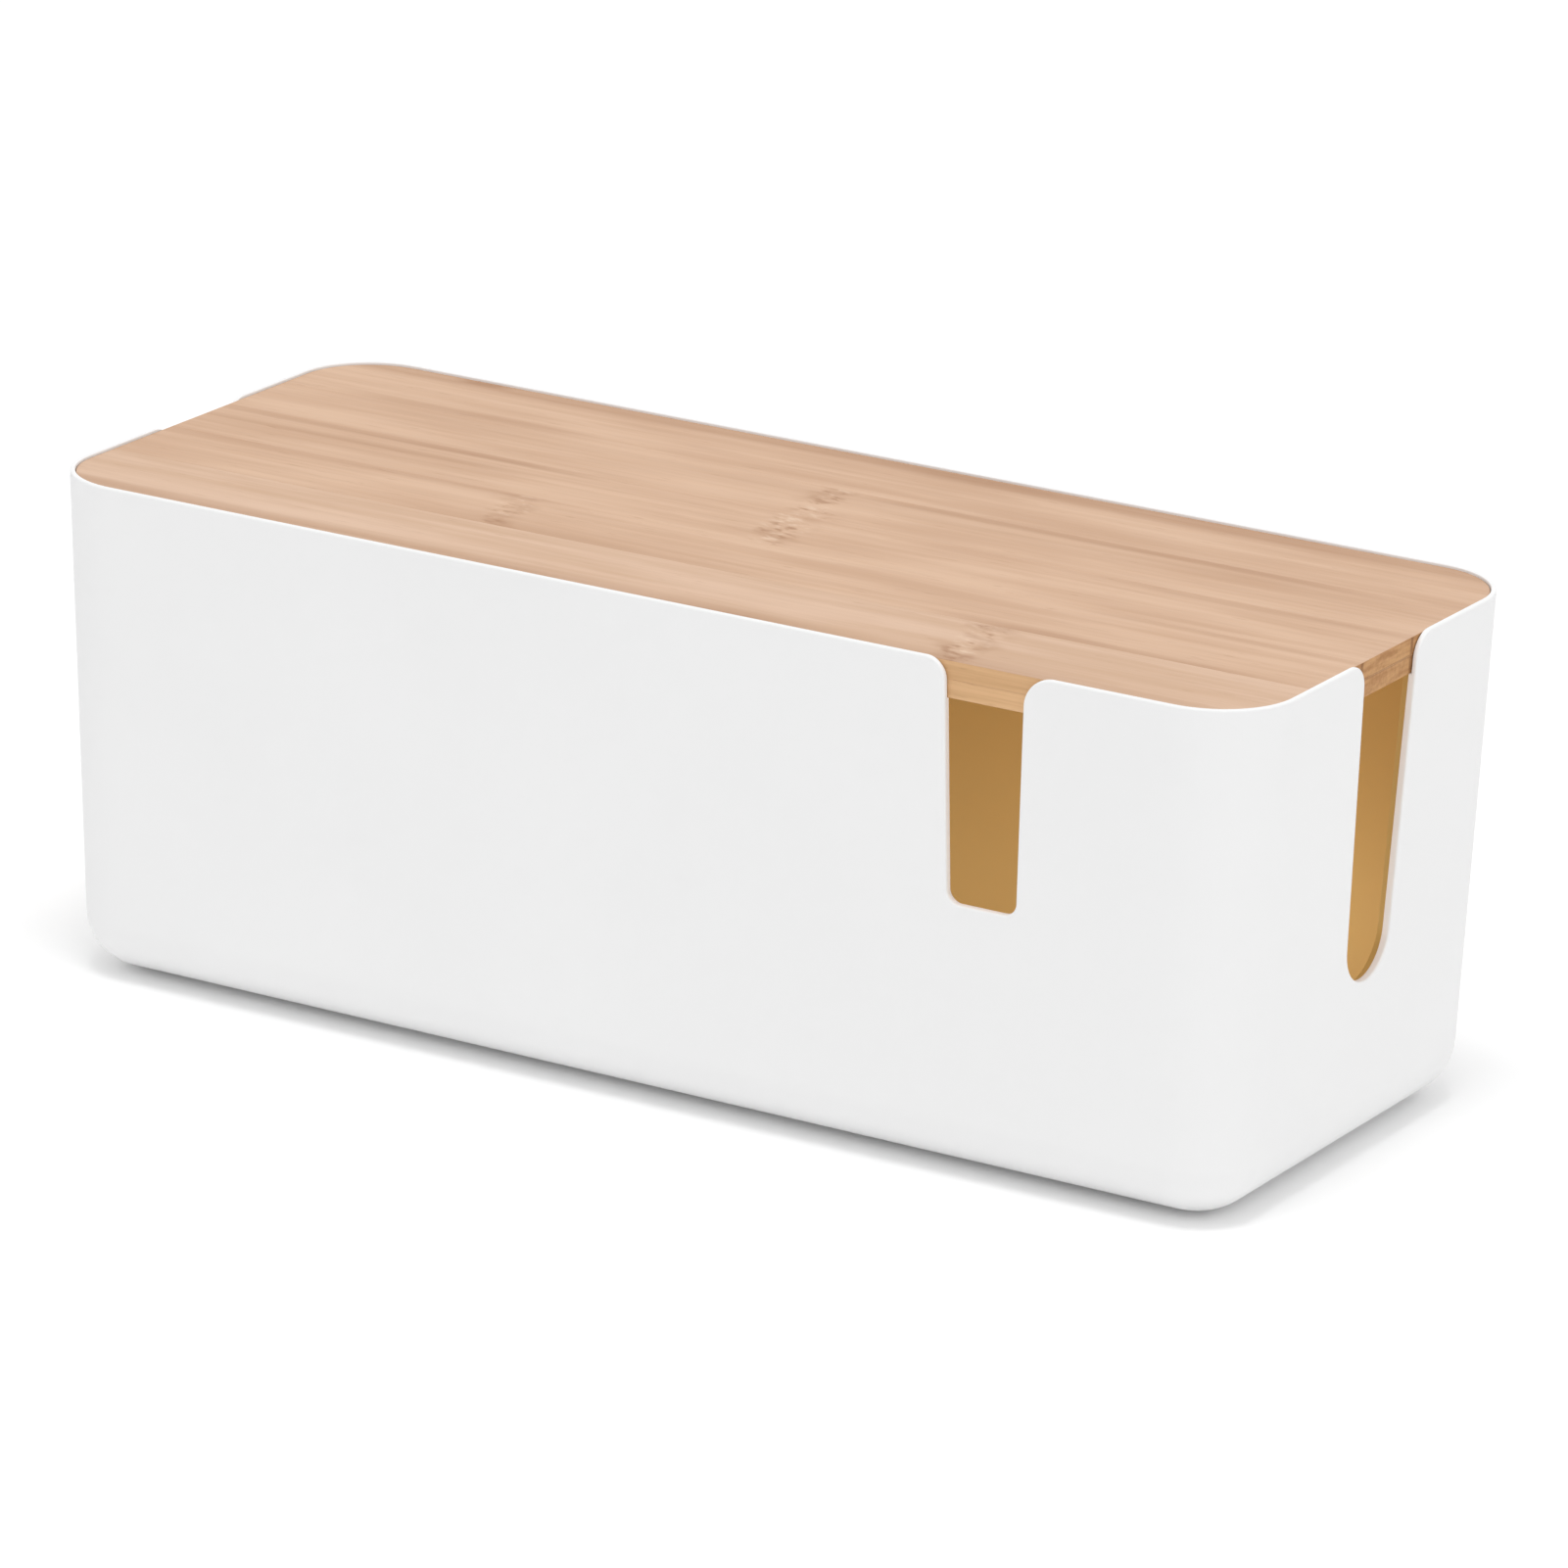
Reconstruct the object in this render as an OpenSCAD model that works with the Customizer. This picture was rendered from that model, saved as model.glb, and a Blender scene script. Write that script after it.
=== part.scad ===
// Cable management box: a white open-topped shell with an ochre liner, three cable
// slots and a lift-off lid glued up from bamboo strips. It stands on four rubber feet.
// Millimetres, +Z up, X along the length. The origin is on the standing surface,
// below the middle of the box. The front, with its own slot, faces -Y.

/* [Shell] */
// Length of the shell over the rim
box_l = 344; // [280:1:420]
// Width of the shell over the rim
box_w = 140; // [115:1:180]
// Height of the shell from its underside to the rim
box_h = 130; // [110:1:160]
// Radius of the four upright corners at the rim
corner_r = 21.5; // [20.5:0.5:28]
// Radius of the rounding between the walls and the underside
bottom_r = 14.5; // [8:0.5:16]
// How far each wall leans in towards the floor, in degrees
draft = 2.2; // [0.5:0.1:3]
// Wall thickness below the lid
wall = 2; // [1.8:0.1:3]
// Wall thickness of the lip around the lid
lip = 1.3; // [1:0.1:1.5]
// Thickness of the floor
floor_t = 2.4; // [2:0.1:4]

/* [Liner] */
// Thickness of the liner's walls and floor
liner_t = 1.6; // [1:0.1:2.5]
// Free space between the liner's walls and the shell
liner_gap = 0.25; // [0.1:0.05:0.4]

/* [Lid] */
// Thickness of the upper layer of bamboo strips
top_ply_t = 4.7; // [3:0.1:7]
// Thickness of the lower layer of bamboo strips
under_ply_t = 4.7; // [3:0.1:7]
// Width of the three inner strips in each layer
strip_w = 25.5; // [18:0.5:30]
// Free space between the lid and the lip at the lid's foot
lid_gap = 0.4; // [0.3:0.1:0.6]
// How far the lid's top lies below the rim
lid_recess = 0.6; // [0:0.1:2]

/* [Front slot] */
// Distance of the front slot to the right of the middle
front_slot_x = 100.5; // [60:0.5:130]
// Width of the front slot at the rim
front_slot_w = 21.5; // [16:0.5:28]
// Depth of the front slot below the rim
front_slot_depth = 61; // [45:1:80]
// Lean of each side of the front slot, in degrees
front_slot_taper = 1.3; // [0:0.1:3]
// Radius of the front slot's two lower corners
front_slot_r = 3.5; // [2:0.5:6]

/* [End slots] */
// Width of each end slot at the rim
end_slot_w = 27; // [20:0.5:34]
// Depth of each end slot below the rim
end_slot_depth = 84; // [60:1:95]
// Lean of each side of an end slot, in degrees
end_slot_taper = 2.2; // [0:0.1:3]

/* [Slot mouths] */
// Radius that turns each slot's side over into the rim
mouth_r = 8; // [4:0.5:10]

/* [Feet] */
// Diameter of a foot
foot_d = 12; // [8:0.5:16]
// Thickness of a foot
foot_t = 2; // [1.5:0.1:3]
// Depth of the pocket that a foot sits in
foot_pocket = 0.8; // [0.5:0.1:1.2]
// Free space around a foot in its pocket
foot_gap = 0.2; // [0.1:0.05:0.3]
// Distance of a foot's centre from the rim's outline, both ways
foot_inset = 30; // [27:0.5:40]

/* [Hidden] */
$fn = 96;
// Straight steps in each rounded edge
arc_steps = 12;
PLACES = [1, 2, 3, 4, 5];

// How far a cut runs past the surface that it opens
past = 1;
// Heights above the standing surface
under_z = foot_t - foot_pocket;
rim_z = under_z + box_h;
lid_top_z = rim_z - lid_recess;
ply_z = lid_top_z - top_ply_t;
seat_z = ply_z - under_ply_t;
shell_floor_z = under_z + floor_t;
liner_floor_z = shell_floor_z + liner_t;
// Centres of the upright corners
post_x = box_l / 2 - corner_r;
post_y = box_w / 2 - corner_r;
// Insets from the shell's outside, measured level
liner_out = wall + liner_gap;
liner_in = liner_out + liner_t;
lid_inset = lip + lid_gap + (rim_z - seat_z) * tan(draft);
lid_l = box_l - 2 * lid_inset;
lid_w = box_w - 2 * lid_inset;
lid_r = corner_r - lid_inset;
// Edges of the strips, from the front of the lid to its back
strip_edges = [-lid_w / 2, -1.5 * strip_w, -0.5 * strip_w, 0.5 * strip_w, 1.5 * strip_w, lid_w / 2];
// The radius that closes the foot of an end slot with one round
end_slot_foot_w = end_slot_w / 2 - end_slot_depth * tan(end_slot_taper);
end_slot_r = end_slot_foot_w * cos(end_slot_taper) / (1 - sin(end_slot_taper));

// Points along an arc, from one angle to another
function arc(centre_x, centre_z, radius, from, to) = [
    for (step = [0:arc_steps])
        let (angle = from + (to - from) * step / arc_steps)
            [centre_x + radius * cos(angle), centre_z + radius * sin(angle)]
];

// Upright section outwards from a corner's axis, between two heights: the outer side
// is drafted, and its foot is rounded by foot_r where that isn't 0
module corner_section(inset, low_z, high_z, foot_r) {
    side_x = function(z) corner_r - inset - (rim_z - z) * tan(draft);
    round_z = low_z + foot_r;
    round_x = side_x(round_z) - foot_r / cos(draft);
    foot = foot_r > 0 ? arc(round_x, round_z, foot_r, -90, -draft) : [[side_x(low_z), low_z]];
    polygon(concat([[0, low_z]], foot, [[side_x(high_z), high_z], [0, high_z]]));
}

// A drafted block with round corners, inset from the shell's outside: four corners,
// four straight sides and a core, all from one section
module tub(inset, low_z, high_z, foot_r) {
    translate([-post_x, -post_y, low_z])
        cube([2 * post_x, 2 * post_y, high_z - low_z]);
    for (turn = [0, 180])
        rotate([0, 0, turn]) {
            translate([post_x, post_y, 0])
                rotate_extrude(angle = 90)
                    corner_section(inset, low_z, high_z, foot_r);
            translate([-post_x, post_y, 0])
                rotate([0, 0, 90])
                    rotate_extrude(angle = 90)
                        corner_section(inset, low_z, high_z, foot_r);
            translate([post_x, post_y, 0])
                rotate([90, 0, 0])
                    linear_extrude(2 * post_y)
                        corner_section(inset, low_z, high_z, foot_r);
            translate([-post_x, post_y, 0])
                rotate([90, 0, 90])
                    linear_extrude(2 * post_x)
                        corner_section(inset, low_z, high_z, foot_r);
        }
}

// A slot's outline, upright about its own middle and open at the rim: the sides lean in,
// the foot's corners have radius foot_r and the mouth turns over into the rim
module slot_outline(width, depth, taper, foot_r) {
    half_w = function(z) width / 2 - (rim_z - z) * tan(taper);
    round_z = rim_z - depth + foot_r;
    round_x = half_w(round_z) - foot_r / cos(taper);
    mouth_z = rim_z - mouth_r;
    mouth_x = half_w(mouth_z) + mouth_r / cos(taper);
    right = concat(
        arc(round_x, round_z, foot_r, -90, -taper),
        arc(mouth_x, mouth_z, mouth_r, 180 - taper, 90),
        [[mouth_x, rim_z + past]]
    );
    left = [for (k = [len(right) - 1:-1:0]) if (right[k].x > 0.001) [-right[k].x, right[k].y]];
    polygon(concat(right, left));
}

// Everything that the three slots take out of the walls
module slot_cuts() {
    reach_in = liner_in + bottom_r;
    translate([front_slot_x, reach_in - box_w / 2, 0])
        rotate([90, 0, 0])
            linear_extrude(reach_in + past)
                slot_outline(front_slot_w, front_slot_depth, front_slot_taper, front_slot_r);
    for (turn = [0, 180])
        rotate([0, 0, turn])
            translate([box_l / 2 - reach_in, 0, 0])
                rotate([90, 0, 90])
                    linear_extrude(reach_in + past)
                        slot_outline(end_slot_w, end_slot_depth, end_slot_taper, end_slot_r);
}

// Puts a foot, or its pocket, at one corner: right and back are 1, or -1 for left and front
module at_foot(right, back) {
    translate([right * (box_l / 2 - foot_inset), back * (box_w / 2 - foot_inset), 0])
        children();
}

// White outer shell: one moulding with a ledge below its rim, three slots and foot pockets
module shell() {
    color("white")
        difference() {
            tub(0, under_z, rim_z, bottom_r);
            tub(wall, shell_floor_z, rim_z + past, bottom_r - wall);
            tub(lip, seat_z, rim_z + past, 0);
            slot_cuts();
            for (right = [-1, 1], back = [-1, 1])
                at_foot(right, back)
                    cylinder(h = foot_t, d = foot_d + 2 * foot_gap);
        }
}

// Ochre liner: a second, thinner tub that fills the shell up to its ledge
module liner() {
    color([0.70, 0.54, 0.30])
        difference() {
            tub(liner_out, shell_floor_z, seat_z, bottom_r - liner_out);
            tub(liner_in, liner_floor_z, seat_z + past, bottom_r - liner_in);
            slot_cuts();
        }
}

// The lid's plan
module lid_outline() {
    square([lid_l, lid_w - 2 * lid_r], center = true);
    square([lid_l - 2 * lid_r, lid_w], center = true);
    for (x = [-1, 1], y = [-1, 1])
        translate([x * (lid_l / 2 - lid_r), y * (lid_w / 2 - lid_r)])
            circle(lid_r);
}

// One bamboo strip of a layer, counted from the front
module lid_strip(place, low_z, thickness) {
    translate([0, 0, low_z])
        linear_extrude(thickness)
            intersection() {
                lid_outline();
                translate([-lid_l / 2, strip_edges[place - 1]])
                    square([lid_l, strip_edges[place] - strip_edges[place - 1]]);
            }
}

module lid_top_strip(place) {
    color([0.87, 0.73, 0.60])
        lid_strip(place, ply_z, top_ply_t);
}

module lid_under_strip(place) {
    color([0.85, 0.67, 0.49])
        lid_strip(place, seat_z, under_ply_t);
}

// Rubber foot, glued into its pocket
module foot(right, back) {
    color("dimgray")
        at_foot(right, back)
            cylinder(h = foot_t, d = foot_d);
}

shell();
liner();
for (place = PLACES) {
    lid_top_strip(place);
    lid_under_strip(place);
}
foot(-1, -1);  // foot_front_left
foot(1, -1);  // foot_front_right
foot(-1, 1);  // foot_back_left
foot(1, 1);  // foot_back_right
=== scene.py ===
# %% [markdown]
# A cable management box: a long white shell with an ochre liner, three slots for leads
# and a lid glued up from bamboo strips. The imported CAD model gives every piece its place,
# so the script first loads it as a fixed frame. All the lengths are metres, and the box
# stands on z = 0 with its length along X and its front towards -Y.

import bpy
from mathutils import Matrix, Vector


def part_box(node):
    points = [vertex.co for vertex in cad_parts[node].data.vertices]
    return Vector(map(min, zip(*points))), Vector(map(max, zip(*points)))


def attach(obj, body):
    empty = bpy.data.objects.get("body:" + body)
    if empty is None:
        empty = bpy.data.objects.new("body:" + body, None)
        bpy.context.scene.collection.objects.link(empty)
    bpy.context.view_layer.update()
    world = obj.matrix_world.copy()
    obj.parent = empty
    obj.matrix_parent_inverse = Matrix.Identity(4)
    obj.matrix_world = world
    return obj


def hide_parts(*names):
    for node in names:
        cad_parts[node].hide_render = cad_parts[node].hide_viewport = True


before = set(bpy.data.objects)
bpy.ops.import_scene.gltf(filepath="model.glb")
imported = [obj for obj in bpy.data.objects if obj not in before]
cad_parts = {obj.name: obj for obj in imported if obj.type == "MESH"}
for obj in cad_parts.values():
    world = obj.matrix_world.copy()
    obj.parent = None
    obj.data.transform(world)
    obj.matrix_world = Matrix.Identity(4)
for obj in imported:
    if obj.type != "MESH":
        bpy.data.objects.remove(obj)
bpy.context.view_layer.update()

# %% [markdown]
# The shell's outside and the lid's heights are read off the CAD nodes. The other sizes are
# those of the real box: a wall that leans in by 2.2 degrees, a thinner lip that holds the
# lid, and soft upright corners. LINER_OUT and LINER_IN are how far the liner's two skins
# lie inside the shell's outside. The steps say how finely the roundings are divided.

# %% Sizes of the box
import math

import bmesh
import bpy
from mathutils import Matrix, Vector

MM = 0.001
shell_low, shell_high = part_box("shell")
liner_low, liner_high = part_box("liner")
lid_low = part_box("lid_under_strip_1")[0]
lid_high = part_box("lid_top_strip_5")[1]
RIM_Z = shell_high.z
SEAT_Z = lid_low.z
PLY_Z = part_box("lid_top_strip_1")[0].z
LENGTH = shell_high.x - shell_low.x
WIDTH = shell_high.y - shell_low.y
CORNER_R = 21.5 * MM
BOTTOM_R = 14.5 * MM
LEAN = math.tan(math.radians(2.2))
WALL = 2 * MM
LIP = 1.3 * MM
FLOOR_Z = liner_low.z
LINER_OUT = 2.03 * MM
LINER_IN = 3.85 * MM
LINER_FLOOR_Z = FLOOR_Z + 1.6 * MM
CORNER_STEPS = 20
FOOT_STEPS = 10
print("rim at", round(RIM_Z / MM, 2), "mm, lid from", round(SEAT_Z / MM, 2), "mm up")

# %% [markdown]
# Tubs, lids and plates of this box share one plan: a rectangle with round corners. It
# could be drawn point by point, but a grid of one face with its four corners bevelled
# gives the same face, and the bevel works out the arcs.


# %% A plate with round corners
def plate(bm, length, width, radius, height):
    """Adds one level face with round corners, and returns it."""
    known = set(bm.faces)
    made = bmesh.ops.create_grid(bm, x_segments=1, y_segments=1, size=0.5)
    corners = made["verts"]
    bmesh.ops.scale(bm, vec=(length, width, 1), verts=corners)
    bmesh.ops.translate(bm, vec=(0, 0, height), verts=corners)
    bmesh.ops.bevel(bm, geom=corners, offset=radius, affect="VERTICES",
                    segments=CORNER_STEPS, profile=0.5, material=-1)
    return next(face for face in bm.faces if face not in known)


# %% [markdown]
# A moulded tub has walls that lean in a little, so that it leaves its mould, and a
# rounding between wall and floor. Its skin grows from one plate at the top: each inset
# draws the plate in and sinks it by one step, and leaves a ring of wall behind. The
# bottom rounding is a row of such steps along an arc.


# %% The skin of a tub
def skin_steps(inset, top_z, low_z, foot_r):
    """(inset from the rim's outline, height) down one side of a tub, to its floor."""
    def lean(z):
        return inset + (RIM_Z - z) * LEAN

    rows = [(lean(top_z), top_z)]
    middle_z = low_z + foot_r
    tilt = math.atan(LEAN)
    middle = lean(middle_z) + foot_r / math.cos(tilt)
    for step in range(FOOT_STEPS + 1):
        angle = tilt + (math.pi / 2 - tilt) * step / FOOT_STEPS
        rows.append((middle - foot_r * math.cos(angle),
                     middle_z - foot_r * math.sin(angle)))
    return rows


def sink(bm, rows):
    """Grows a skin through these rows, from its open top down to its floor."""
    start_inset, start_z = rows[0]
    face = plate(bm, LENGTH - 2 * start_inset, WIDTH - 2 * start_inset,
                 CORNER_R - start_inset, start_z)
    least = 0.0001 * MM
    for (inset_a, z_a), (inset_b, z_b) in zip(rows, rows[1:]):
        face.normal_update()
        up = 1 if face.normal.z > 0 else -1
        bmesh.ops.inset_region(bm, faces=[face], thickness=max(inset_b - inset_a, least),
                               depth=up * (z_b - z_a), use_even_offset=True,
                               use_boundary=True)


def tub(outer_rows, inner_rows):
    """A closed tub: two skins that start from one outline, and are merged there."""
    bm = bmesh.new()
    sink(bm, outer_rows)
    sink(bm, outer_rows[:1] + inner_rows)
    bmesh.ops.remove_doubles(bm, verts=bm.verts, dist=0.001 * MM)
    bmesh.ops.recalc_face_normals(bm, faces=bm.faces)
    return bm


shell_bm = tub(
    skin_steps(0, RIM_Z, shell_low.z, BOTTOM_R),
    [(LIP, RIM_Z), (LIP + (RIM_Z - SEAT_Z) * LEAN, SEAT_Z)]
    + skin_steps(WALL, SEAT_Z, FLOOR_Z, BOTTOM_R - WALL),
)
liner_bm = tub(
    skin_steps(LINER_OUT, liner_high.z, FLOOR_Z, BOTTOM_R - LINER_OUT),
    skin_steps(LINER_IN, liner_high.z, LINER_FLOOR_Z, BOTTOM_R - LINER_IN),
)
print("shell", len(shell_bm.faces), "faces, liner", len(liner_bm.faces), "faces")

# %% [markdown]
# A bmesh is only a shape in memory. To be seen, cut or finished with modifiers it has to
# become the mesh of an object. The object stays at the origin, so the shape's place is in
# its own points, as it is for the CAD's nodes.


# %% From bmesh to object
def as_object(name, bm):
    mesh = bpy.data.meshes.new(name)
    bm.to_mesh(mesh)
    bm.free()
    piece = bpy.data.objects.new(name, mesh)
    bpy.context.scene.collection.objects.link(piece)
    return piece


shell = as_object("white_shell", shell_bm)
liner = as_object("ochre_liner", liner_bm)
print("objects:", shell.name, liner.name)

# %% [markdown]
# A slot's outline has sides that lean in, a foot with round corners, and a mouth that
# turns over into the rim. The slots could be modelled into the walls ring by ring, but
# then each wall would need points where its slot is. A cutter is simpler: the outline is
# one face whose corners are bevelled, drawn out into a bar, and taken away with a Boolean.
# The front slot's foot is flat between small corners, and those of the end slots are round.

# %% Sizes of the slots
FRONT_SLOT_X = 100.5 * MM
FRONT_SLOT = {"width": 21.5 * MM, "depth": 61 * MM, "lean_deg": 1.3, "foot_r": 3.5 * MM,
              "left_mouth_r": 5.5 * MM, "right_mouth_r": 8 * MM}
END_SLOT = {"width": 27 * MM, "depth": 84 * MM, "lean_deg": 2.2, "foot_r": 12 * MM,
            "left_mouth_r": 6.5 * MM, "right_mouth_r": 6.5 * MM}
print("slots:", FRONT_SLOT["width"] / MM, "and", END_SLOT["width"] / MM, "mm wide")

# %% [markdown]
# A bevel's offset is the length that it takes off each side of a corner. That is the
# radius of its arc only where the corner is square, and a slot's corners aren't, because
# its sides lean. So the offset is worked out from the radius and from half the corner.


# %% Round the corners of an outline
SLOT_ARC_STEPS = 16


def half_turn(lean_deg):
    """Half the angle, in radians, between a slot's leaning side and a level line."""
    return math.radians(90 + lean_deg) / 2


def round_corners(bm, level, radius, low_x, high_x, lean_deg):
    """Bevels the outline's corners at one level, between two x, to arcs of this radius."""
    corners = [v for v in bm.verts
               if abs(v.co.z - level) < 0.001 * MM and low_x < v.co.x < high_x]
    bmesh.ops.bevel(bm, geom=corners, offset=radius / math.tan(half_turn(lean_deg)),
                    affect="VERTICES", segments=SLOT_ARC_STEPS, profile=0.5, material=-1)


# %% [markdown]
# The outline is drawn upright, with its mouth at z = 0, and wide shoulders above the
# mouth. They rise by a hair, because a cutter's face that lies exactly in the rim's own
# plane leaves stray folds there. A foot that is too narrow for two corners of the wanted
# radius gets the largest radius that fits, which makes it one full round.


# %% A bar with a slot's outline
BAR_LENGTH = 20 * MM


def slot_cutter(width, depth, lean_deg, foot_r, left_mouth_r, right_mouth_r, larger):
    """A bar with a slot's outline, below z = 0 and round x = 0, that runs along +Y."""
    bm = bmesh.new()
    half, depth = width / 2 + larger, depth + larger
    foot = half - depth * math.tan(math.radians(lean_deg))
    full_round = foot * math.tan(half_turn(lean_deg))
    foot_r = min(foot_r + larger, full_round)
    side = [(foot, -depth), (half, 0), (2 * half, 0.01 * MM), (2 * half, 8 * MM)]
    outline = side + [(-x, z) for x, z in reversed(side)]
    bm.faces.new([bm.verts.new((x, 0, z)) for x, z in outline])
    inner = half + 0.01 * MM
    round_corners(bm, -depth, foot_r, -inner, inner, lean_deg)
    round_corners(bm, 0, left_mouth_r, -inner, 0, lean_deg)
    round_corners(bm, 0, right_mouth_r, 0, inner, lean_deg)
    bmesh.ops.remove_doubles(bm, verts=bm.verts, dist=0.01 * MM)
    far = bmesh.ops.extrude_face_region(bm, geom=list(bm.faces))["geom"]
    far = [v for v in far if isinstance(v, bmesh.types.BMVert)]
    bmesh.ops.translate(bm, vec=(0, BAR_LENGTH, 0), verts=far)
    bmesh.ops.recalc_face_normals(bm, faces=bm.faces)
    return bm


# %% [markdown]
# Each bar starts a millimetre outside its wall, and is turned to the wall that it cuts.
# The liner's slots are a millimetre larger all round, so that its edge never peeps out of
# the shell's, and so it has cutters of its own.


# %% Put the cutters in place
BAR_START = 1 * MM


def placed(name, bm, matrix):
    bmesh.ops.transform(bm, matrix=matrix, verts=bm.verts)
    return as_object(name, bm)


front_place = Matrix.Translation((FRONT_SLOT_X, -WIDTH / 2 - BAR_START, RIM_Z))
end_place = Matrix.Translation((0, -LENGTH / 2 - BAR_START, RIM_Z))


def slot_cutters(larger):
    made = [placed("front_cutter", slot_cutter(**FRONT_SLOT, larger=larger), front_place)]
    for name, turn in (("right_cutter", 90), ("left_cutter", -90)):
        place = Matrix.Rotation(math.radians(turn), 4, "Z") @ end_place
        made.append(placed(name, slot_cutter(**END_SLOT, larger=larger), place))
    return made


shell_cutters = slot_cutters(0)
liner_cutters = slot_cutters(1 * MM)
print("cutters:", [len(cutter.data.polygons) for cutter in shell_cutters + liner_cutters])

# %% [markdown]
# Each foot sits in a shallow round pocket in the underside, with a little space around
# it. Four short cones of equal radii, which are cylinders, cut those pockets in the shell.

# %% Cutter for the foot pockets
FEET = ["foot_front_left", "foot_front_right", "foot_back_left", "foot_back_right"]
foot_boxes = {name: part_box(name) for name in FEET}
foot_low, foot_high = foot_boxes[FEET[0]]
FOOT_R = (foot_high.x - foot_low.x) / 2
POCKET_R = FOOT_R + 0.2 * MM
pockets_bm = bmesh.new()
for low, high in foot_boxes.values():
    middle = Matrix.Translation(((low.x + high.x) / 2, (low.y + high.y) / 2, high.z / 2))
    bmesh.ops.create_cone(pockets_bm, cap_ends=True, segments=48, depth=high.z,
                          radius1=POCKET_R, radius2=POCKET_R, matrix=middle)
pocket_cutter = as_object("pocket_cutter", pockets_bm)
print("foot radius", round(FOOT_R / MM, 2), "mm, pocket", round(POCKET_R / MM, 2), "mm")

# %% [markdown]
# A Boolean modifier is live, and would keep needing its cutter. So the cut mesh is taken
# out of it, and the modifiers and the cutters go. A Boolean that fails leaves an empty
# mesh, which is easily missed, so that stops the script.


# %% Cut the slots and pockets
def cut_away(piece, tools):
    for tool in tools:
        cut = piece.modifiers.new(tool.name, "BOOLEAN")
        cut.operation = "DIFFERENCE"
        cut.solver = "EXACT"
        cut.object = tool
    graph = bpy.context.evaluated_depsgraph_get()
    mesh = bpy.data.meshes.new_from_object(piece.evaluated_get(graph))
    piece.modifiers.clear()
    piece.data = mesh
    assert mesh.polygons, piece.name + " is gone"
    print(piece.name, "is cut and has", len(mesh.polygons), "faces")


cut_away(shell, shell_cutters + [pocket_cutter])
cut_away(liner, liner_cutters)
for tool in shell_cutters + liner_cutters + [pocket_cutter]:
    bpy.data.objects.remove(tool)

# %% [markdown]
# No moulded edge is perfectly sharp, and the small rounding is what catches the light
# along a rim. The outer edges get a wider one than the inner edges, so the edges are
# picked by how far they lie inside the rim's outline, and by being sharp and convex.


# %% Ease the moulded edges
def inset_of(point):
    """How far a point lies inside the tub's outer skin at its height."""
    x = abs(point.x) - (LENGTH / 2 - CORNER_R)
    y = abs(point.y) - (WIDTH / 2 - CORNER_R)
    reach = math.hypot(x, y) if x > 0 and y > 0 else max(x, y)
    return CORNER_R - reach - (RIM_Z - point.z) * LEAN


def ease(bm, edges, radius, segments):
    bmesh.ops.bevel(bm, geom=edges, offset=radius, offset_type="OFFSET", affect="EDGES",
                    segments=segments, profile=0.5, material=-1, clamp_overlap=False)


def sharp_edges(bm):
    """Convex edges whose faces turn by more than 50 degrees."""
    return [edge for edge in bm.edges if edge.is_manifold and edge.is_convex
            and edge.calc_face_angle() > math.radians(50)]


def ease_tub(piece, skin, outer_r, inner_r):
    bm = bmesh.new()
    bm.from_mesh(piece.data)
    bmesh.ops.remove_doubles(bm, verts=bm.verts, dist=0.002 * MM)
    for wanted_outer, radius, segments in ((True, outer_r, 4), (False, inner_r, 3)):
        edges = []
        for edge in sharp_edges(bm):
            inside = max(inset_of(vert.co) for vert in edge.verts) - skin
            if (inside < 0.1 * MM) == wanted_outer:
                edges.append(edge)
        ease(bm, edges, radius, segments)
        print(piece.name, "outer" if wanted_outer else "inner", len(edges), "edges eased")
    bm.to_mesh(piece.data)
    bm.free()


ease_tub(shell, 0, 0.55 * MM, 0.3 * MM)
ease_tub(liner, LINER_OUT, 0.15 * MM, 0.3 * MM)

# %% [markdown]
# The lid is two layers of five bamboo strips, glued side by side and then one on the
# other. Its sides lean as the lip does, so that the gap around it is the same fine line at
# every height. It fills its place a little more than the CAD's plain slabs, whose gap
# allows for a lid that isn't quite straight.

# %% Sizes of the lid
PLACES = range(1, 6)
FACE_NODES = [f"lid_top_strip_{place}" for place in PLACES]
UNDER_NODES = [f"lid_under_strip_{place}" for place in PLACES]
lid_boxes = {name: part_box(name) for name in FACE_NODES + UNDER_NODES}
LID_GAP = 0.2 * MM
LID_INSET = LIP + LID_GAP
lid_rows = [(LID_INSET + (RIM_Z - z) * LEAN, z) for z in (lid_high.z, PLY_Z, SEAT_Z)]
print("lid", [round((LENGTH - 2 * inset) / MM, 2) for inset, z in lid_rows], "mm long")

# %% [markdown]
# Each strip is a piece of its own. It could start as a box, but the outer strips have the
# lid's round corners. So every strip starts as a whole layer: its plan is sunk to its foot
# as a tub's is, and closed. Two planes then cut the strip's own width out of it.
#
# The lid's outer edges were sanded round. The glued edges are sharper, but a joint always
# shows as a hair line, so each of them gets a chamfer of a twentieth of a
# millimetre: two neighbours then form a fine groove.


# %% A strip of the lid
def outline_edges(bm, height):
    """The level edges at this height that lie on the lid's outline, not at a seam."""
    found = []
    for edge in bm.edges:
        level = all(abs(v.co.z - height) < 0.001 * MM for v in edge.verts)
        middle = (edge.verts[0].co + edge.verts[1].co) / 2
        if level and inset_of(middle) < LID_INSET + 0.05 * MM:
            found.append(edge)
    return found


def close(bm):
    """Fills each opening in a skin with one face."""
    bmesh.ops.holes_fill(bm, edges=[edge for edge in bm.edges if edge.is_boundary])


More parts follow.
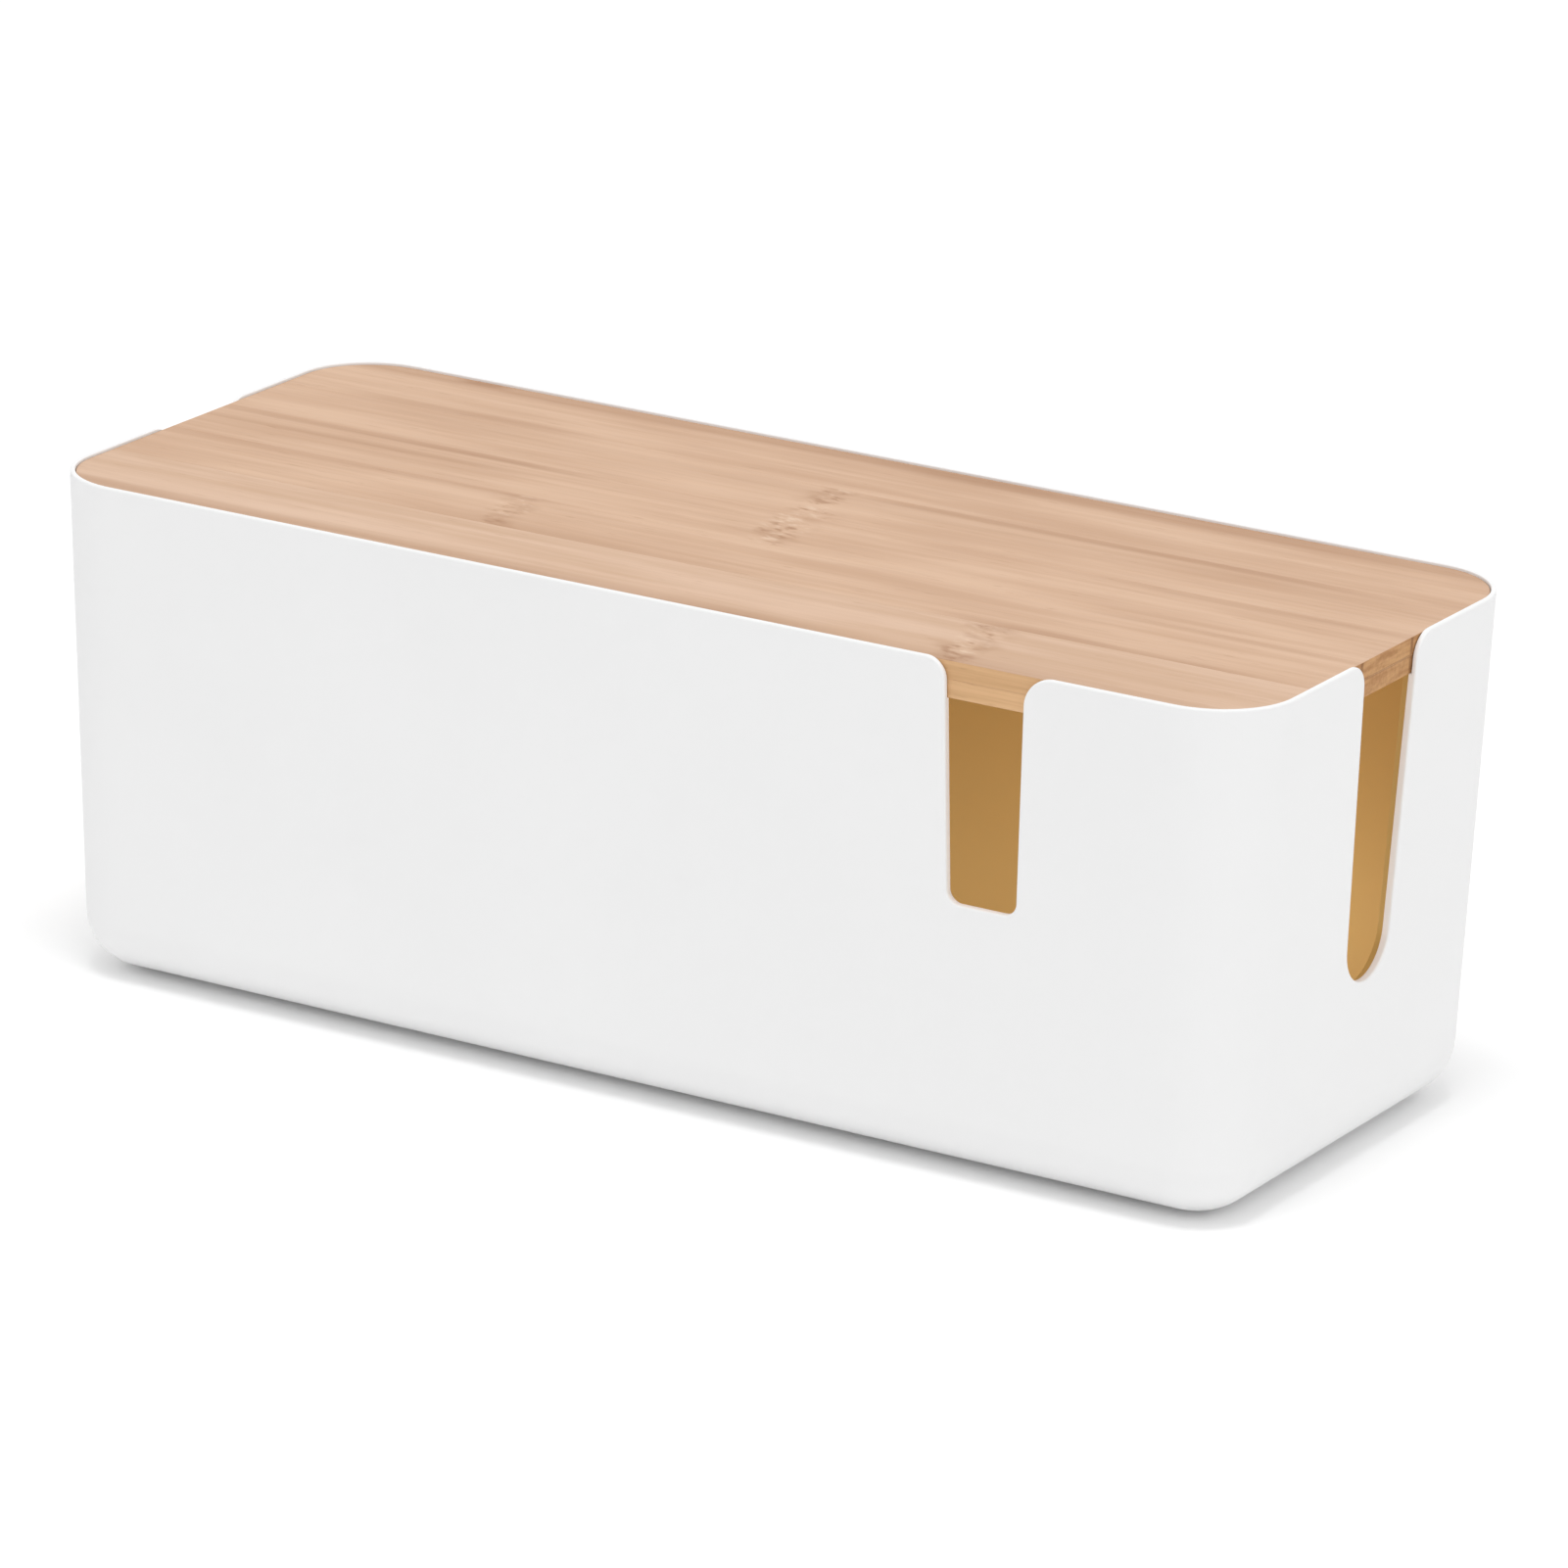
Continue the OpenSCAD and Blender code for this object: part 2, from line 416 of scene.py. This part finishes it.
def lid_strip(name, node, rows, shown_z):
    """One strip, with its outer edges rounded on the side that shows."""
    low, high = lid_boxes[node]
    bm = bmesh.new()
    sink(bm, rows)
    close(bm)
    for y, side in ((low.y, -1), (high.y, 1)):
        is_outer_edge = abs(y) > WIDTH / 2 - 5 * MM
        if is_outer_edge:
            continue
        everything = list(bm.verts) + list(bm.edges) + list(bm.faces)
        bmesh.ops.bisect_plane(bm, geom=everything, dist=0.001 * MM, plane_co=(0, y, 0),
                               plane_no=(0, side, 0), clear_outer=True)
        close(bm)
    bmesh.ops.recalc_face_normals(bm, faces=bm.faces)
    ease(bm, outline_edges(bm, shown_z), 0.3 * MM, 3)
    ease(bm, sharp_edges(bm), 0.05 * MM, 1)
    return as_object(name, bm)


face_strips = [lid_strip(f"lid_face_{place}", node, lid_rows[:2], lid_high.z)
               for place, node in zip(PLACES, FACE_NODES)]
under_strips = [lid_strip(f"lid_back_{place}", node, lid_rows[1:], SEAT_Z)
                for place, node in zip(PLACES, UNDER_NODES)]
print("strips:", [len(strip.data.polygons) for strip in face_strips + under_strips])

# %% [markdown]
# The feet are small rubber discs. A short cylinder would do, but a moulded disc has a
# round edge and a shallow dish in its underside, so the end face is inset and raised.


# %% The feet
def rubber_foot(name, low, high):
    bm = bmesh.new()
    middle = Matrix.Translation((low + high) / 2)
    bmesh.ops.create_cone(bm, cap_ends=True, segments=48, depth=high.z - low.z,
                          radius1=FOOT_R, radius2=FOOT_R, matrix=middle)
    ease(bm, sharp_edges(bm), 0.35 * MM, 4)
    sole = min(bm.faces, key=lambda face: face.calc_center_median().z)
    # The first inset leaves a rim on the sole, and the second one raises the dish.
    bmesh.ops.inset_region(bm, faces=[sole], thickness=2 * MM, depth=0)
    bmesh.ops.inset_region(bm, faces=[sole], thickness=0.4 * MM, depth=-0.3 * MM)
    return as_object(name, bm)


feet = {name: rubber_foot("rubber_" + name, low, high)
        for name, (low, high) in foot_boxes.items()}
print("feet:", len(feet), "with", len(feet[FEET[0]].data.polygons), "faces each")

# %% [markdown]
# Smooth shading blends the normals of neighbouring faces. On a shape of large flat faces
# and small roundings that would make the flats look dented, so the edges above 35 degrees
# stay sharp, and a Weighted Normal modifier lets the large faces win.


# %% Shading
def smooth(piece):
    piece.data.shade_smooth()
    piece.data.set_sharp_from_angle(angle=math.radians(35))
    weigh = piece.modifiers.new("weighted", "WEIGHTED_NORMAL")
    weigh.keep_sharp = True


pieces = [shell, liner, *face_strips, *under_strips, *feet.values()]
for piece in pieces:
    smooth(piece)
print("shaded:", len(pieces), "pieces")

# %% [markdown]
# A finish is a tree of nodes. Putting nodes down one by one takes many lines, so a small
# class keeps a material, or the world, with its tree. It adds a node with its settings,
# and it feeds a socket, from another node or with a plain value. Colours are given as they
# should show, from 0 to 255, while Blender's sockets take linear ones.


# %% A tree of nodes
def srgb(red, green, blue):
    """The linear colour that shows as these 0 to 255 values."""
    def linear(value):
        share = value / 255
        return share / 12.92 if share <= 0.04045 else ((share + 0.055) / 1.055) ** 2.4
    return (linear(red), linear(green), linear(blue), 1)


class Tree:
    def __init__(self, owner, shader="Principled BSDF"):
        """Opens the node tree of a material, or of the world, at its shader."""
        owner.use_nodes = True
        self.owner = owner
        self.tree = owner.node_tree
        self.shader = self.tree.nodes[shader]

    def node(self, kind, **settings):
        made = self.tree.nodes.new(kind)
        for key, value in settings.items():
            setattr(made, key, value)
        return made

    def feed(self, socket, value):
        """Joins a socket to another node's output, or sets it to a plain value."""
        if isinstance(value, bpy.types.NodeSocket):
            self.tree.links.new(value, socket)
        else:
            socket.default_value = value


# %% [markdown]
# All the patterns on this box are one noise, stretched, turned and shifted. They read
# Object coordinates, which are metres on the box, so a scale of 100 gives a pattern about
# 10 mm across, and a scale that is smaller along X gives streaks along the box.


# %% Patterns
class Pattern(Tree):
    def place(self):
        return self.node("ShaderNodeTexCoord").outputs["Object"]

    def mapped(self, vector, **values):
        mapping = self.node("ShaderNodeMapping", vector_type="POINT")
        self.feed(mapping.inputs["Vector"], vector)
        for key, value in values.items():
            mapping.inputs[key].default_value = value
        return mapping.outputs["Vector"]

    def stretched(self, scale, shift=(0, 0, 0), turn=0):
        """Object coordinates, turned about Z and then scaled along each axis."""
        turned = self.mapped(self.place(), Rotation=(0, 0, turn)) if turn else self.place()
        return self.mapped(turned, Scale=scale, Location=shift)

    def noise(self, vector, detail=2):
        noise = self.node("ShaderNodeTexNoise")
        self.feed(noise.inputs["Vector"], vector)
        noise.inputs["Scale"].default_value = 1
        noise.inputs["Detail"].default_value = detail
        return noise.outputs["Fac"]


# %% [markdown]
# A pattern is one number at each point. Sums weigh several patterns together, a fade turns
# the part of one that matters into a share from 0 to 1, and that share mixes two colours.
# The same number can raise a bump.


# %% Sums, fades, mixed colours and bumps
class Finish(Pattern):
    def sums(self, operation, first, second=0):
        """One step of arithmetic, such as ADD or MAXIMUM."""
        made = self.node("ShaderNodeMath", operation=operation)
        self.feed(made.inputs[0], first)
        self.feed(made.inputs[1], second)
        return made.outputs[0]

    def add(self, first, *others):
        total = first
        for other in others:
            total = self.sums("ADD", total, other)
        return total

    def times(self, first, second):
        return self.sums("MULTIPLY", first, second)

    def fade(self, value, start, end, low=0, high=1):
        """Goes softly from low to high as the value goes from start to end."""
        made = self.node("ShaderNodeMapRange", interpolation_type="SMOOTHSTEP")
        self.feed(made.inputs["Value"], value)
        for key, number in (("From Min", start), ("From Max", end),
                            ("To Min", low), ("To Max", high)):
            made.inputs[key].default_value = number
        return made.outputs["Result"]

    def near(self, value, middle, full, gone):
        """1 where the value is within full of the middle, and 0 beyond gone."""
        away = self.sums("ABSOLUTE", self.sums("SUBTRACT", value, middle))
        return self.fade(away, full, gone, 1, 0)

    def mix(self, share, first, second):
        """From the first colour to the second one. Its colour sockets are 6, 7 and 2."""
        made = self.node("ShaderNodeMix", data_type="RGBA")
        for index, value in ((0, share), (6, first), (7, second)):
            self.feed(made.inputs[index], value)
        return made.outputs[2]

    def direct(self):
        """1 for rays that show a surface as it is: seen, mirrored or through glass."""
        path = self.node("ShaderNodeLightPath").outputs
        return self.add(path["Is Camera Ray"], path["Is Glossy Ray"],
                        path["Is Transmission Ray"])

    def bump(self, height, distance, strength):
        made = self.node("ShaderNodeBump")
        self.feed(made.inputs["Height"], height)
        made.inputs["Distance"].default_value = distance
        made.inputs["Strength"].default_value = strength
        self.feed(self.shader.inputs["Normal"], made.outputs["Normal"])


# %% [markdown]
# The shell is matt white plastic. Its mould was blasted with fine grit, which shows as a
# very fine grain in the highlights. Two noises make it: one for the grain's bumps, and a
# wide one for slow changes of sheen and tone, as a large moulding has.


# %% White and ochre plastic
def plastic(name, colour, other, rough, specular):
    finish = Finish(bpy.data.materials.new(name))
    slow = finish.noise(finish.stretched((14, 14, 14)), detail=3)
    grain = finish.noise(finish.stretched((2600, 2600, 2600)), detail=2)
    tone = finish.mix(finish.fade(slow, 0.35, 0.65), colour, other)
    finish.feed(finish.shader.inputs["Base Color"], tone)
    sheen = finish.fade(slow, 0.3, 0.7, rough - 0.03, rough + 0.03)
    finish.feed(finish.shader.inputs["Roughness"], sheen)
    finish.shader.inputs["Specular IOR Level"].default_value = specular
    finish.bump(grain, 0.03 * MM, 0.35)
    return finish.owner


white = plastic("matt_white", srgb(245, 245, 245), srgb(244, 244, 244), 0.55, 0.18)
ochre = plastic("matt_ochre", srgb(204, 173, 109), srgb(202, 171, 106), 0.6, 0.3)
print("plastics:", white.name, ochre.name)

# %% [markdown]
# Rubber is dark, matt and a little dusty, so a pale tone is mixed in with a fine noise.

# %% Rubber
rubber = Finish(bpy.data.materials.new("dusty_rubber"))
dust = rubber.noise(rubber.stretched((900, 900, 900)), detail=3)
rubber.feed(rubber.shader.inputs["Base Color"],
            rubber.mix(rubber.fade(dust, 0.45, 0.75), srgb(52, 52, 53), srgb(74, 73, 72)))
rubber.shader.inputs["Roughness"].default_value = 0.8
rubber.bump(dust, 0.05 * MM, 0.5)
print("rubber:", len(rubber.tree.nodes), "nodes")

# %% [markdown]
# Bamboo is all fibres. Flat-pressed strips show slow bands of tone, finer streaks, fibres
# of a few tenths of a millimetre, and short dark dashes where a bundle surfaces. The same
# noise, stretched more and more along the grain, gives all of them. Its scales are waves
# per metre along the grain and then across it, and each strip shifts the noise, so that
# no two strips are alike.


# %% The grain of bamboo
BROWN = srgb(158, 112, 76)


def plain_grain(finish, pale, deep, shift, fine):
    """The colour of plain grain, with the slow and the fine parts of its pattern."""
    clouds = finish.noise(finish.stretched((14, 55, 55), shift), detail=2)
    bands = finish.noise(finish.stretched((6, 130 * fine, 130 * fine), shift), detail=3)
    streaks = finish.noise(finish.stretched((18, 420 * fine, 420 * fine), shift), detail=2)
    fibres = finish.noise(finish.stretched((60, 1700, 1700), shift), detail=2)
    dashes = finish.noise(finish.stretched((130, 1300, 1300), shift), detail=1)
    tone = finish.add(finish.times(clouds, 0.35), finish.times(bands, 0.3),
                      finish.times(streaks, 0.2), finish.times(fibres, 0.15))
    colour = finish.mix(finish.fade(tone, 0.38, 0.62), deep, pale)
    colour = finish.mix(finish.fade(dashes, 0.66, 0.8, 0, 0.25), colour, BROWN)
    return colour, clouds, bands, fibres


# %% [markdown]
# Some strips have long dark lines, mostly beside a seam, where the saw met the dense fibres
# under the stalk's skin. The same kind of line, made wider, lies along the lid's front and
# back edges as painted shade, where the rim shades the wood. A line is a narrow peak across
# the grain that fades at both ends. The slow clouds make it waver, and the bands break it up.


# %% Dark lines along the grain, and painted shade along the lid's edges
def dark_line_and_edge_shade(finish, colour, x, y, clouds, bands, line):
    line_y, start, end, strength, half_width = line
    waver = finish.add(y, finish.times(clouds, 2 * MM))
    across = finish.near(waver, line_y + MM, half_width * 0.2, half_width)
    soft = min(20 * MM, (end - start) / 3)
    along = finish.times(finish.fade(x, start - soft, start + soft),
                         finish.fade(x, end - soft, end + soft, 1, 0))
    broken = finish.fade(bands, 0.35, 0.6, strength * 0.5, strength)
    return finish.mix(finish.times(finish.times(across, along), broken), colour, BROWN)


# %% [markdown]
# Where the stalk had a knuckle, the fibres cross one another, and a row of blots and short
# dark and light flecks runs across the strip. It is a band across the grain, bent by a
# noise, and two more noises fill it: a coarse one for the blots, and a finer one, turned a
# little, for the flecks.


# %% The knuckles
def knuckle_row(finish, colour, x, y, shift, knuckle):
    knuckle_x, knuckle_y, strength = knuckle
    wave = finish.noise(finish.stretched((60, 120, 120), shift), detail=2)
    bent = finish.add(x, finish.times(y, 0.2), finish.times(wave, 12 * MM))
    middle = knuckle_x + 0.2 * knuckle_y + 6 * MM
    blots = finish.noise(finish.stretched((90, 150, 150), shift), detail=1)
    stain = finish.times(finish.near(bent, middle, 2 * MM, 11 * MM),
                         finish.fade(blots, 0.45, 0.65, 0, 0.3))
    turn = math.radians(12)
    flecks = finish.noise(finish.stretched((190, 400, 400), shift, turn), detail=2.5)
    row = finish.near(bent, middle, 1 * MM, 7 * MM)
    dark = finish.times(row, finish.fade(flecks, 0.49, 0.3, 0, strength))
    light = finish.times(row, finish.fade(flecks, 0.53, 0.7, 0, strength))
    colour = finish.mix(stain, colour, BROWN)
    colour = finish.mix(dark, colour, BROWN)
    return finish.mix(light, colour, srgb(226, 198, 172))


# %% [markdown]
# The three parts make one finish. Under the clear lacquer the fibres still give a fine
# bump, and they change the sheen a little.


# %% Bamboo
def bamboo(name, pale, deep, shift, knuckle=None, lines_and_edge_shades=(), fine=1):
    """knuckle is (x, y, strength), and each dark line and each band of painted edge shade is
    (y, from x, to x, strength, half width).
    """
    finish = Finish(bpy.data.materials.new(name))
    split = finish.node("ShaderNodeSeparateXYZ")
    finish.feed(split.inputs[0], finish.place())
    x, y = split.outputs["X"], split.outputs["Y"]
    colour, clouds, bands, fibres = plain_grain(finish, pale, deep, shift, fine)
    for line in lines_and_edge_shades:
        colour = dark_line_and_edge_shade(finish, colour, x, y, clouds, bands, line)
    if knuckle is not None:
        colour = knuckle_row(finish, colour, x, y, shift, knuckle)
    finish.feed(finish.shader.inputs["Base Color"], colour)
    sheen = finish.fade(fibres, 0.3, 0.7, 0.5, 0.62)
    finish.feed(finish.shader.inputs["Roughness"], sheen)
    finish.shader.inputs["Specular IOR Level"].default_value = 0.3
    finish.bump(fibres, 0.05 * MM, 0.3)
    return finish.owner


# %% [markdown]
# The strips of the lid's face differ in their lines and knuckles. The edges show a yellower
# and finer grain, because there the strips are seen from their side. The strips of the
# lower layer are plainer and a little darker.

# %% The bamboo of each strip
FACE_PALE, FACE_DEEP = srgb(216, 181, 152), srgb(199, 161, 131)
face_finishes = {
    1: bamboo("bamboo_face_1", srgb(218, 185, 159), srgb(202, 166, 136), (0.3, 1.7, 0.1),
              (0.088, -0.053, 0.7),
              # The two lines at y = -0.067 are painted shade along the lid's front edge,
              # beside the rim.
              [(-0.067, -0.2, 0.05, 0.5, 0.008), (-0.067, 0.02, 0.2, 0.3, 0.006)]),
    2: bamboo("bamboo_face_2", FACE_PALE, FACE_DEEP, (4.1, 2.9, 0.7), (-0.061, -0.025, 0.5),
              [(-0.0136, -0.17, -0.06, 0.3, 0.0035), (-0.0136, 0.1, 0.17, 0.3, 0.003),
               (-0.0376, -0.08, 0.02, 0.25, 0.004), (-0.0376, 0.08, 0.17, 0.45, 0.0035)]),
    3: bamboo("bamboo_face_3", FACE_PALE, FACE_DEEP, (7.7, 5.3, 1.9), (0.002, 0, 0.7),
              [(0.0108, -0.17, -0.065, 0.5, 0.003), (0.0025, -0.17, -0.08, 0.3, 0.0025),
               (0.0108, 0.09, 0.17, 0.3, 0.003)]),
    4: bamboo("bamboo_face_4", FACE_PALE, FACE_DEEP, (9.2, 8.1, 3.3), (-0.001, 0.025, 0.6),
              [(0.0368, 0.005, 0.14, 0.45, 0.0035), (0.031, -0.13, 0.15, 0.15, 0.008)]),
    5: bamboo("bamboo_face_5", FACE_PALE, FACE_DEEP, (12.6, 3.7, 5.1), None,
              # The lines at y = 0.065 and 0.067 are painted shade along the lid's back edge,
              # beside the rim, and the short one at 0.0665 makes a stretch of that edge darker
              # still.
              [(0.0405, -0.15, -0.08, 0.3, 0.004), (0.067, -0.2, 0.2, 0.5, 0.008),
               (0.065, 0, 0.2, 0.3, 0.007), (0.0665, -0.134, -0.121, 0.9, 0.0025)]),
}
edge_finish = bamboo("bamboo_edge", srgb(226, 183, 137), srgb(204, 160, 114),
                     (15.0, 9.9, 7.7), fine=2.5)
UNDER_PALE, UNDER_DEEP = srgb(214, 175, 134), srgb(194, 152, 111)
under_knuckle_x = {1: -0.09, 2: 0.05, 3: 0.12, 4: -0.13, 5: 0.01}
under_finishes = {
    place: bamboo(f"bamboo_back_{place}", UNDER_PALE, UNDER_DEEP,
                  (20.0 + 3 * place, 2.3 * place, 1.1 * place),
                  (under_knuckle_x[place], 0, 0.7))
    for place in PLACES
}
print("bamboo finishes:", len(face_finishes) + len(under_finishes) + 1)

# %% [markdown]
# At the lid's two ends the fibres are cut through. End grain drinks in more lacquer, so it
# is darker, and it shows dots instead of streaks. The glue between the strips leaves a
# dark upright line there, and the glue between the layers a level one.


# %% End grain
def end_grain(name):
    finish = Finish(bpy.data.materials.new(name))
    split = finish.node("ShaderNodeSeparateXYZ")
    finish.feed(split.inputs[0], finish.place())
    y, z = split.outputs["Y"], split.outputs["Z"]
    dots = finish.noise(finish.stretched((900, 900, 900)), detail=2)
    layers = finish.noise(finish.stretched((40, 90, 700)), detail=2)
    tone = finish.add(finish.times(dots, 0.3), finish.times(layers, 0.7))
    colour = finish.mix(finish.fade(tone, 0.33, 0.67), srgb(173, 123, 76), srgb(204, 156, 106))
    glue = finish.times(finish.near(z, PLY_Z, 0.1 * MM, 0.6 * MM), 0.6)
    for node in FACE_NODES[:-1]:
        seam_y = lid_boxes[node][1].y
        glue = finish.sums("MAXIMUM", glue, finish.near(y, seam_y, 0.2 * MM, 1.1 * MM))
    colour = finish.mix(finish.times(glue, 0.6), colour, srgb(120, 78, 46))
    finish.feed(finish.shader.inputs["Base Color"], colour)
    finish.shader.inputs["Roughness"].default_value = 0.65
    finish.shader.inputs["Specular IOR Level"].default_value = 0.3
    finish.bump(dots, 0.05 * MM, 0.25)
    return finish.owner


end_finish = end_grain("bamboo_end_grain")
print("end grain:", len(end_finish.node_tree.nodes), "nodes")

# %% [markdown]
# A strip shows its long fibres on top and along its sides, and their cut ends at the lid's
# ends. So each strip has three finishes, and each face takes the one for its direction.


# %% Put the finishes on
MAIN, SIDE, END = range(3)


def dress_strip(strip, main):
    for finish in (main, edge_finish, end_finish):
        strip.data.materials.append(finish)
    for face in strip.data.polygons:
        upright = abs(face.normal.z) < 0.6
        across_grain = abs(face.normal.x) > 0.7
        face.material_index = (END if across_grain else SIDE) if upright else MAIN


shell.data.materials.append(white)
liner.data.materials.append(ochre)
for place, top, under in zip(PLACES, face_strips, under_strips):
    dress_strip(top, face_finishes[place])
    dress_strip(under, under_finishes[place])
for foot in feet.values():
    foot.data.materials.append(rubber.owner)
print("dressed:", [len(piece.data.materials) for piece in pieces])

# %% [markdown]
# Every piece rides on a body of the CAD and stands for its CAD node, which is hidden.


# %% Tie the pieces to the frame
def tie(piece, body, node):
    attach(piece, body)
    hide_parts(node)


tie(shell, "box", "shell")
tie(liner, "box", "liner")
for piece, node in zip(face_strips, FACE_NODES):
    tie(piece, "lid", node)
for piece, node in zip(under_strips, UNDER_NODES):
    tie(piece, "lid", node)
for node, piece in feet.items():
    tie(piece, "box", node)
print("tied:", len(pieces), "pieces")

# %% [markdown]
# The box stands on a pale floor. A ray that shows the floor, seen or mirrored, also meets
# a little light of its own, so that it reads as white and yet keeps the soft shadow. Far
# from the box the lamps no longer reach, so between 0.4 m and 2 m from its middle the
# floor's own light grows.

# %% Floor
FLOOR_REACH = 6
floor_bm = bmesh.new()
bmesh.ops.create_grid(floor_bm, x_segments=1, y_segments=1, size=FLOOR_REACH)
floor = as_object("floor", floor_bm)
floor_finish = Finish(bpy.data.materials.new("floor"))
floor_finish.shader.inputs["Base Color"].default_value = (0.95, 0.95, 0.95, 1)
floor_finish.shader.inputs["Roughness"].default_value = 0.9
floor_finish.shader.inputs["Specular IOR Level"].default_value = 0
floor_finish.shader.inputs["Emission Color"].default_value = (1, 1, 1, 1)
distance = floor_finish.node("ShaderNodeVectorMath", operation="LENGTH")
floor_finish.feed(distance.inputs[0], floor_finish.place())
own_light = floor_finish.fade(distance.outputs["Value"], 0.4, 2, 0.08, 0.28)
floor_finish.feed(floor_finish.shader.inputs["Emission Strength"],
                  floor_finish.times(floor_finish.direct(), own_light))
floor.data.materials.append(floor_finish.owner)
print("floor:", 2 * FLOOR_REACH, "m wide")

# %% [markdown]
# The light is that of a white studio tent. The world gives most of it from all sides. A
# large soft lamp stands low at the right and another one hangs overhead, a little in
# front, and they give the faces slightly different tones. Little light comes through the
# slots into the closed box, so two flat lamps lie on its floor: a stronger one at the
# right, where the slots are, and a weak one along the rest, nearer to the back wall, which
# the front slot shows. No lamp shows to the camera.

# %% Light
world = bpy.data.worlds.new("studio")
bpy.context.scene.world = world
tent = Finish(world, "Background")
tent.shader.inputs["Color"].default_value = (1, 1, 1, 1)
TENT = 0.78
tent.feed(tent.shader.inputs["Strength"],
          tent.add(tent.times(tent.direct(), 1 - TENT), TENT))


def soft_lamp(name, size, power, place, aim):
    light = bpy.data.lights.new(name, "AREA")
    light.shape = "RECTANGLE"
    light.size, light.size_y = size
    light.energy = power
    lamp = bpy.data.objects.new(name, light)
    lamp.location = place
    lamp.rotation_euler = (Vector(aim) - Vector(place)).to_track_quat("-Z", "Y").to_euler()
    lamp.visible_camera = False
    bpy.context.scene.collection.objects.link(lamp)


def inside_lamp(name, low_x, high_x, low_y, high_y, power):
    """A flat lamp just above the liner's floor, that shines straight up."""
    x, y = (low_x + high_x) / 2, (low_y + high_y) / 2
    soft_lamp(name, (high_x - low_x, high_y - low_y), power, (x, y, 6 * MM), (x, y, 1))


soft_lamp("key", (1.6, 1.6), 2.2, (2, -0.3, 0.6), (0, 0, 0.08))
soft_lamp("overhead", (0.8, 0.8), 18.5, (0.2, -0.4, 2.5), (0, 0, 0.1))
inside_lamp("inside_left", -0.148, 0.06, -0.03, 0.054, 0.063)
inside_lamp("inside_right", 0.07, 0.148, -0.036, 0.036, 0.069)

# %% [markdown]
# The camera looks at the box from its front right, from above, through a long lens. Its
# three axes are worked out from two angles and a slight roll. The focal length is given in
# pixels of the square frame, which Blender's sensor width turns into millimetres.

# %% Camera
AZIMUTH_DEG, ELEVATION_DEG, ROLL_DEG = 30.756, 18.164, 1.543
CAMERA_PLACE = (1.12957, -1.88952, 0.7867)
FOCAL_PX, FRAME_PX, SENSOR_MM = 9541.3, 1601, 36
azimuth = math.radians(AZIMUTH_DEG)
elevation = math.radians(ELEVATION_DEG)
roll = math.radians(ROLL_DEG)
back = Vector((math.sin(azimuth) * math.cos(elevation),
               -math.cos(azimuth) * math.cos(elevation), math.sin(elevation)))
level = Vector((math.cos(azimuth), math.sin(azimuth), 0))
above = back.cross(level)
right = level * math.cos(roll) + above * math.sin(roll)
up = above * math.cos(roll) - level * math.sin(roll)
lens = bpy.data.cameras.new("camera")
lens.sensor_width = SENSOR_MM
lens.lens = FOCAL_PX * SENSOR_MM / FRAME_PX
lens.clip_end = 20
camera = bpy.data.objects.new("camera", lens)
turned = Matrix((right, up, back)).transposed().to_4x4()
camera.matrix_world = Matrix.Translation(CAMERA_PLACE) @ turned
bpy.context.scene.collection.objects.link(camera)
bpy.context.scene.camera = camera
bpy.context.scene.view_settings.view_transform = "Standard"
print("lens", round(lens.lens, 1), "mm")
